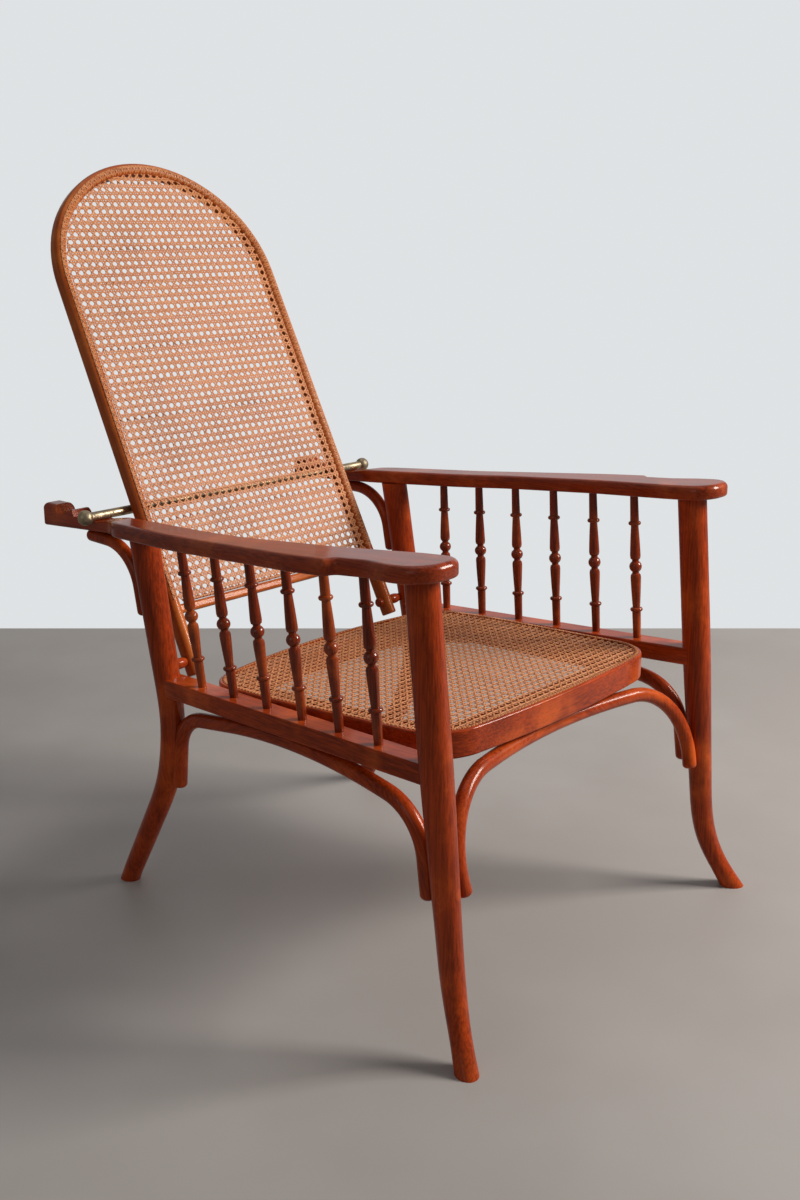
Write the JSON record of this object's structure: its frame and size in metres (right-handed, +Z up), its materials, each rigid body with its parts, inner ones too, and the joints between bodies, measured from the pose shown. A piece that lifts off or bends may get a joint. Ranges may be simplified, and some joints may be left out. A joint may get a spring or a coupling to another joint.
{
  "type": "bentwood armchair",
  "caption": "Bentwood reclining armchair with a caned seat, a hinged caned back, spindled sides and notched armrests that hold a brass rod",
  "frame": {"origin": "on the floor, under the middle of the whole chair's box", "axes": "+Z up, the chair faces -Y, the sitter's left is +X"},
  "size_m": [0.6856, 0.9468, 1.0277],
  "materials": {
    "beech_red": "glossy stained and polished beech, warm red brown",
    "beech_dark": "glossy stained beech worn dark on the armrests",
    "beech_light": "glossy stained beech, lighter orange",
    "cane": "woven split cane, light brown, slightly shiny",
    "old_brass": "dull aged brass",
    "old_steel": "dull old steel screw heads"
  },
  "bodies": {
    "chair_frame": {"front_leg_left": "beech_red", "front_leg_right": "beech_red", "rear_leg_left": "beech_red", "rear_leg_right": "beech_red", "armrest_left": "beech_dark", "armrest_right": "beech_dark", "side_rail_left": "beech_red", "side_rail_right": "beech_red", "side_arch_left": "beech_red", "side_arch_right": "beech_red", "rear_brace_left": "beech_red", "rear_brace_right": "beech_red", "pivot_peg_left": "beech_red", "pivot_peg_right": "beech_red", "pivot_bead_left": "beech_red", "pivot_bead_right": "beech_red", "spindle_1_left": "beech_red", "spindle_1_right": "beech_red", "spindle_2_left": "beech_red", "spindle_2_right": "beech_red", "spindle_3_left": "beech_red", "spindle_3_right": "beech_red", "spindle_4_left": "beech_red", "spindle_4_right": "beech_red", "spindle_5_left": "beech_red", "spindle_5_right": "beech_red", "spindle_6_left": "beech_red", "spindle_6_right": "beech_red", "seat_ring": "beech_red", "seat_cane": "cane", "front_arch": "beech_red", "arch_screws": "old_steel", "brace_screws": "old_steel", "seat_screws": "old_steel"},
    "back": {"back_bow": "beech_red", "back_crossbar": "beech_light", "back_cane": "cane"},
    "rod": {"recline_rod": "old_brass", "rod_ball_left": "old_brass", "rod_ball_right": "old_brass"}
  },
  "joints": [
    {"name": "back_hinge", "type": "hinge", "parent": "chair_frame", "child": "back", "pos_m": [0, 0.1321, 0.3487], "axis": [1, 0, 0], "range_deg": [0, 105]},
    {"name": "rod_shift", "type": "hinge", "parent": "chair_frame", "child": "rod", "pos_m": [0, 0.2909, 0.52919], "axis": [-1, 0, 0], "range_deg": [0, 127.5]}
  ]
}
